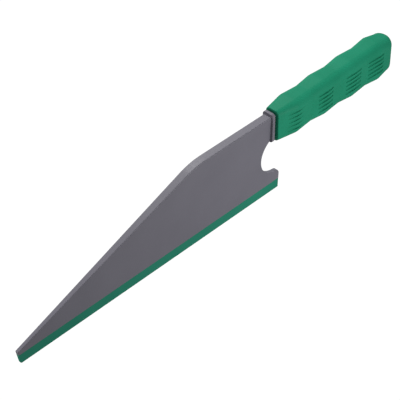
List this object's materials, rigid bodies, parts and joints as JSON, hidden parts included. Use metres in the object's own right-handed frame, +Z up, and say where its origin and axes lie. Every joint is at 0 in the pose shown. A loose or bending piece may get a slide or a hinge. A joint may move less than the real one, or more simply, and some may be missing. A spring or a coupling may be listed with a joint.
{
  "type": "trowel-shaped hand squeegee",
  "caption": "Stiff tapered wedge plate with a soft strip along its lower edge, a finger notch at the heel and a waved soft grip in line with its neck.",
  "frame": {"origin": "bottom centre of the bounding box: in the working edge's plane, on the plane of symmetry, midway between tip and grip end", "axes": "+X from the tip to the grip along the working edge, +Y across the plate's thickness, +Z up from the working edge to the spine"},
  "size_m": [0.3646, 0.0194, 0.0774],
  "materials": {
    "rigid_plate": "fine satin moulded texture, mid grey",
    "soft_edge": "matt green soft elastomer",
    "soft_grip": "satin green soft elastomer"
  },
  "bodies": {
    "root": {"blade_plate": "rigid_plate", "edge_strip": "soft_edge", "grip_sleeve": "soft_grip"}
  },
  "joints": []
}
